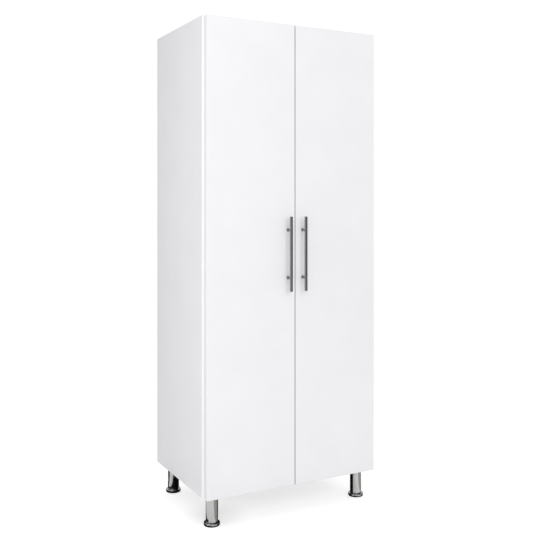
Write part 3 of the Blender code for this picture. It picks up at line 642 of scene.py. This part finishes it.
def add_foot(foot, body, place, leg_bottom):
    """A chrome flange on a black pad, with a threaded stem that goes up into the leg."""
    low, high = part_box(foot)
    rim_top = leg_bottom - FOOT_GAP
    rim_radius = (high.x - low.x) / 2
    outline = [(STEM_RADIUS, rim_top), (rim_radius, rim_top), (rim_radius, PAD_HEIGHT), (0, PAD_HEIGHT)]
    mesh = turned(foot, filleted(outline, FLANGE_FILLET, FLANGE_FILLET_STEPS), TUBE_STEPS, place)
    piece = add_object(f"{foot}_flange", mesh, foot_finish, body)
    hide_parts(foot)
    pad_radius = rim_radius - PAD_INSET
    outline = [(0, PAD_HEIGHT), (pad_radius, PAD_HEIGHT), (pad_radius, 0), (0, 0)]
    mesh = turned(f"{foot}_pad", filleted(outline, SMALL_FILLET), TUBE_STEPS, place)
    add_object(f"{foot}_pad", mesh, black_finish, body)
    stem_top = high.z
    thread_top = min(stem_top, rim_top + THREAD_TURNS * THREAD_PITCH)
    mesh = thread_mesh(f"{foot}_thread", place, STEM_RADIUS, thread_top, rim_top - THREAD_PITCH)
    add_object(f"{foot}_thread", mesh, zinc_finish, body)
    core_radius = STEM_RADIUS - THREAD_DEPTH
    outline = [(0, stem_top), (core_radius, stem_top), (core_radius, rim_top), (0, rim_top)]
    mesh = turned(f"{foot}_stem", filleted(outline, SMALL_FILLET), TUBE_STEPS, place)
    add_object(f"{foot}_stem", mesh, zinc_finish, body)


def carved(mesh, cutter):
    """The mesh with the cutter's space taken out."""
    solid = bpy.data.objects.new("solid", mesh)
    tool = bpy.data.objects.new("tool", cutter)
    for obj in (solid, tool):
        bpy.context.scene.collection.objects.link(obj)
    cut = solid.modifiers.new("cut", "BOOLEAN")
    cut.object = tool
    cut.solver = "EXACT"
    made = bpy.data.meshes.new_from_object(solid.evaluated_get(bpy.context.evaluated_depsgraph_get()))
    for obj in (solid, tool):
        bpy.data.objects.remove(obj)
    return made


def cross_mesh(reach, half_width, low, high):
    """A cross-shaped peg that narrows downwards."""
    quarter = [(reach, -half_width), (reach, half_width), (half_width, half_width)]
    shape = bmesh.new()
    rings = []
    for height, share in ((low, RECESS_TAPER), (high, 1.0)):
        ring = []
        for step in range(4):
            turn = Matrix.Rotation(step * pi / 2, 3, "Z")
            for x, y in quarter:
                ring.append(shape.verts.new(turn @ Vector((x * share, y * share, height))))
        rings.append(ring)
    bottom, top = rings
    shape.faces.new(reversed(bottom))
    shape.faces.new(top)
    for step in range(len(bottom)):
        after = (step + 1) % len(bottom)
        shape.faces.new((bottom[step], bottom[after], top[after], top[step]))
    return to_mesh("cross", shape)


def head_mesh(size):
    """A domed screw head with a cross recess, standing on the origin along +Z."""
    radius, height = size
    outline = [(0, 0), (radius, 0), (radius, height * HEAD_RIM), (radius * HEAD_TOP, height), (0, height)]
    head = turned("head", filleted(outline, radius * HEAD_FILLET), FITTING_STEPS, Vector())
    reach, half_width = radius * RECESS_REACH, radius * RECESS_WIDTH
    return carved(head, cross_mesh(reach, half_width, height * RECESS_FLOOR, height * RECESS_TOP))


def domed_mesh(size):
    """A low dome with a stepped rim, such as a cover cap or a bumper."""
    radius, height, rim = size
    shoulder_radius, shoulder_height = DOME_SHOULDER
    outline = [
        (0, 0),
        (radius, 0),
        (radius, height * rim),
        (radius * DOME_LEDGE, height * rim),
        (radius * shoulder_radius, height * shoulder_height),
        (radius * DOME_TOP, height),
        (0, height),
    ]
    return turned("dome", filleted(outline, height * DOME_FILLET), FITTING_STEPS, Vector())


def add_hinge_screws(side):
    """The mounting plates' and arms' screws on the carcase, and the cups' screws on the door."""
    sign = SIDES[side]
    wall = abs(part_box("left_side_panel")[1].x)
    inward = (-sign, 0, 0)
    plates, arms, cups = [], [], []
    for level in HINGE_LEVELS:
        low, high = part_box(f"{side}_{level}_hinge_arm")
        height = (low.z + high.z) / 2
        for way in (-1, 1):
            z = height + way * PLATE_SCREW_SPREAD
            plates.append(Vector((sign * (wall - PLATE_SURFACE), carcase_front + PLATE_SCREW_BACK, z)))
        for back in ARM_SCREW_BACKS:
            arms.append(Vector((sign * (wall - ARM_SURFACE), carcase_front + back, height)))
        cup_low, cup_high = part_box(f"{side}_{level}_hinge_cup")
        for way in (-1, 1):
            z = (cup_low.z + cup_high.z) / 2 + way * CUP_SCREW_SPREAD
            cups.append(Vector(((cup_low.x + cup_high.x) / 2, cup_high.y, z)))
    screws = (
        ("plate_screws", PLATE_SCREW, plates, inward, "root"),
        ("arm_screws", ARM_SCREW, arms, inward, "root"),
        ("cup_screws", CUP_SCREW, cups, BACKWARD, f"{side}_door_leaf"),
    )
    for name, size, places, axis, body in screws:
        name = f"{side}_hinge_{name}"
        add_object(name, copies(name, head_mesh(size), places, axis), hinge_finish, body)


def add_door_fittings(side):
    """The handle's bolts and washers inside the door, and a soft bumper near each inner corner."""
    leaf = f"{side}_door_leaf"
    low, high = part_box(f"{side}_door")
    bolts = []
    for level in POST_LEVELS:
        post_low, post_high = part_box(f"{side}_handle_{level}_post")
        middle = (post_low + post_high) / 2
        bolts.append(Vector((middle.x, high.y, middle.z)))
    name = f"{side}_handle_washers"
    add_object(name, copies(name, domed_mesh(WASHER), bolts, BACKWARD), zinc_finish, leaf)
    lift = Vector((0, WASHER_HEIGHT, 0))
    name = f"{side}_handle_bolts"
    heads = copies(name, head_mesh(HANDLE_BOLT), [place + lift for place in bolts], BACKWARD)
    add_object(name, heads, zinc_finish, leaf)
    from_middle = min(abs(low.x), abs(high.x)) + BUMPER_INSET
    bumpers = []
    for board in ("bottom_panel", "top_panel"):
        board_low, board_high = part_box(board)
        z = (board_low.z + board_high.z) / 2
        bumpers.append(Vector((SIDES[side] * from_middle, high.y, z)))
    name = f"{side}_door_bumpers"
    add_object(name, copies(name, domed_mesh(BUMPER), bumpers, BACKWARD), bumper_finish, leaf)


def add_leg_screws():
    """The screws that hold each leg's plate to the underside."""
    template = head_mesh(LEG_SCREW)
    for side in SIDES:
        for row in ROWS:
            leg = f"{row}_{side}_leg"
            low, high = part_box(leg)
            middle = (low + high) / 2
            places = []
            for step in range(LEG_SCREWS):
                turn = 2 * pi * (step + 0.5) / LEG_SCREWS
                x = middle.x + LEG_SCREW_CIRCLE * cos(turn)
                y = middle.y + LEG_SCREW_CIRCLE * sin(turn)
                places.append(Vector((x, y, high.z - PLATE_THICKNESS)))
            name = f"{leg}_screws"
            add_object(name, copies(name, template, places, DOWNWARD), zinc_finish, "root")


def add_cover_caps():
    """Round caps over the joining fittings, on the underside of the level boards."""
    template = domed_mesh(CAP)
    wall = abs(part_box("left_side_panel")[1].x)
    for board, (from_front, from_back) in CAP_ROWS.items():
        low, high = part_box(board)
        places = []
        for sign in SIDES.values():
            for y in (low.y + from_front, high.y - from_back):
                places.append(Vector((sign * (wall - CAP_FROM_SIDE), y, low.z)))
        name = f"{board}_cover_caps"
        add_object(name, copies(name, template, places, DOWNWARD), cap_finish, "root")


def show_only_to(piece, *kinds):
    """Hides a piece from all other kinds of rays."""
    for kind in RAY_KINDS:
        setattr(piece, f"visible_{kind}", kind in kinds)


def add_stage_mesh(name, mesh, finish):
    """A piece of the studio."""
    mesh.materials.append(finish)
    piece = bpy.data.objects.new(name, mesh)
    bpy.context.scene.collection.objects.link(piece)
    return piece


def matt_finish(name, colour, roughness):
    """A finish for the studio, with no reflections."""
    finish = Finish(name, colour, roughness)
    finish.shader.inputs["Specular IOR Level"].default_value = 0.0
    return finish


def disc_mesh(name, radius, height):
    """A flat disc that faces up."""
    shape = bmesh.new()
    matrix = Matrix.Translation((0, 0, height))
    bmesh.ops.create_circle(shape, cap_ends=True, segments=FLOOR_STEPS, radius=radius, matrix=matrix)
    mesh = bpy.data.meshes.new(name)
    shape.to_mesh(mesh)
    shape.free()
    return mesh


def add_floor():
    """A pale floor with a light shadow for the camera, and a plain grey one that the light meets.

    The pale floor glows and fades out with the distance, and glows less behind the front left foot as a
    painted shadow.
    """
    finish = matt_finish("studio_floor", FLOOR_GREY, FLOOR_ROUGHNESS)
    finish.shader.inputs["Emission Color"].default_value = WHITE
    length = finish.node("ShaderNodeVectorMath", ("Vector", finish.place), operation="LENGTH")
    from_middle = length.outputs["Value"]
    # Painted shadow: the floor glows less round a point behind the front left foot
    foot_low, foot_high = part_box("front_left_foot")
    foot = (foot_low + foot_high) / 2
    shade_place = (foot.x + FOOT_SHADE_BEHIND[0], foot.y + FOOT_SHADE_BEHIND[1], 0.0)
    wires = [(0, finish.place), (1, shade_place)]
    distance = finish.node("ShaderNodeVectorMath", *wires, operation="DISTANCE")
    from_shade = distance.outputs["Value"]
    finish.feed(
        Alpha=finish.spread(from_middle, 1.0, 0.0, FLOOR_SOLID_RADIUS, FLOOR_CLEAR_RADIUS),
        Emission_Strength=finish.spread(from_shade, FLOOR_GLOW - FOOT_SHADE, FLOOR_GLOW, *FOOT_SHADE_REACH),
    )
    seen = add_stage_mesh("studio_floor", disc_mesh("studio_floor", FLOOR_RADIUS, 0), finish.material)
    show_only_to(seen, "camera")
    finish = matt_finish("studio_bounce", BOUNCE_GREY, FLOOR_ROUGHNESS)
    mesh = disc_mesh("studio_bounce", FLOOR_RADIUS, -BOUNCE_DROP)
    bounce = add_stage_mesh("studio_bounce", mesh, finish.material)
    show_only_to(bounce, "diffuse", "glossy", "shadow")


def add_card(name, size, place, shade, turn=(0, 0, 0)):
    """A flat card that only reflections show: a painted reflection."""
    shape = bmesh.new()
    bmesh.ops.create_grid(shape, x_segments=1, y_segments=1, size=0.5)
    bmesh.ops.scale(shape, vec=(*size, 1), verts=shape.verts)
    mesh = bpy.data.meshes.new(name)
    shape.to_mesh(mesh)
    shape.free()
    finish = matt_finish(name, (shade, shade, shade), CARD_ROUGHNESS)
    card = add_stage_mesh(name, mesh, finish.material)
    card.location = place
    card.rotation_euler = turn
    show_only_to(card, "glossy")


def add_cards():
    """Painted reflections for the metal: dark cards for the shade under the cupboard and round its feet, dark
    ones to its right, and grey ones for the floor in front.
    """
    for name, size, (x, y), shade in FLOOR_CARDS:
        add_card(name, size, (x, y, CARD_LIFT), shade)
    low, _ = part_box("left_side_panel")
    _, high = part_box("right_side_panel")
    middle = (low + high) / 2
    size = (high.x - low.x - OVER_MARGINS[0], high.y - low.y - OVER_MARGINS[1])
    # A dark card just under the cupboard's underside: a painted reflection of its shade
    add_card("card_over", size, (middle.x, middle.y, low.z - OVER_DROP), DARK_SHADE, (pi, 0, 0))
    # A dark card round each foot: a painted reflection of the shade where it meets the floor
    for side in SIDES:
        for row in ROWS:
            foot_low, foot_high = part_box(f"{row}_{side}_foot")
            place = (foot_low + foot_high) / 2
            width = 2 * (foot_high.x - foot_low.x) * CONTACT_SHARE
            name = f"card_contact_{row}_{side}"
            add_card(name, (width, width), (place.x, place.y, 2 * CARD_LIFT), CONTACT_SHADE)
    for name, size, place, turn, shade in UPRIGHT_CARDS:
        add_card(name, size, place, shade, (pi / 2, 0, turn))


def add_world():
    """White behind the cupboard, and a softer white as the light that reaches it."""
    world = bpy.data.worlds.new("studio")
    bpy.context.scene.world = world
    world.use_nodes = True
    tree = world.node_tree
    background = tree.nodes["Background"]
    background.inputs["Color"].default_value = WHITE
    seen = tree.nodes.new("ShaderNodeLightPath").outputs["Is Camera Ray"]
    strength = tree.nodes.new("ShaderNodeMapRange")
    strength.inputs["To Min"].default_value = WORLD_LIGHT
    strength.inputs["To Max"].default_value = WORLD_SEEN
    tree.links.new(seen, strength.inputs["Value"])
    tree.links.new(strength.outputs[0], background.inputs["Strength"])


def add_softbox(name, place, target, size, power, shine):
    """A soft light of some width and height that the camera doesn't see."""
    light = bpy.data.lights.new(name, "AREA")
    light.shape = "RECTANGLE"
    light.size, light.size_y = size
    light.energy = power
    lamp = bpy.data.objects.new(name, light)
    lamp.location = place
    aim = Vector(target) - Vector(place)
    lamp.rotation_euler = aim.to_track_quat("-Z", "Y").to_euler()
    lamp.visible_camera = False
    lamp.visible_glossy = shine
    bpy.context.scene.collection.objects.link(lamp)


def add_camera():
    """The photograph's camera, level and turned towards the right, with its picture shifted."""
    data = bpy.data.cameras.new("camera")
    data.lens = CAMERA_LENS_MM
    data.shift_y = CAMERA_SHIFT_Y
    camera = bpy.data.objects.new("camera", data)
    doors_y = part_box("left_door")[0].y
    camera.location = (CAMERA_X, doors_y - CAMERA_BEFORE_DOORS, CAMERA_HEIGHT)
    camera.rotation_euler = (pi / 2, 0, CAMERA_TURN)
    bpy.context.scene.collection.objects.link(camera)
    bpy.context.scene.camera = camera


dress_cad_nodes()
for side in SIDES:
    add_handle(side)
    add_hinge_screws(side)
    add_door_fittings(side)
    for row in ROWS:
        leg_place, leg_bottom = add_leg(f"{row}_{side}_leg")
        add_foot(f"{row}_{side}_foot", f"{row}_{side}_levelling_foot", leg_place, leg_bottom)
add_leg_screws()
add_cover_caps()
add_floor()
add_cards()
add_world()
for softbox in SOFTBOXES:
    add_softbox(*softbox)
add_camera()
bpy.context.scene.view_settings.view_transform = "Standard"
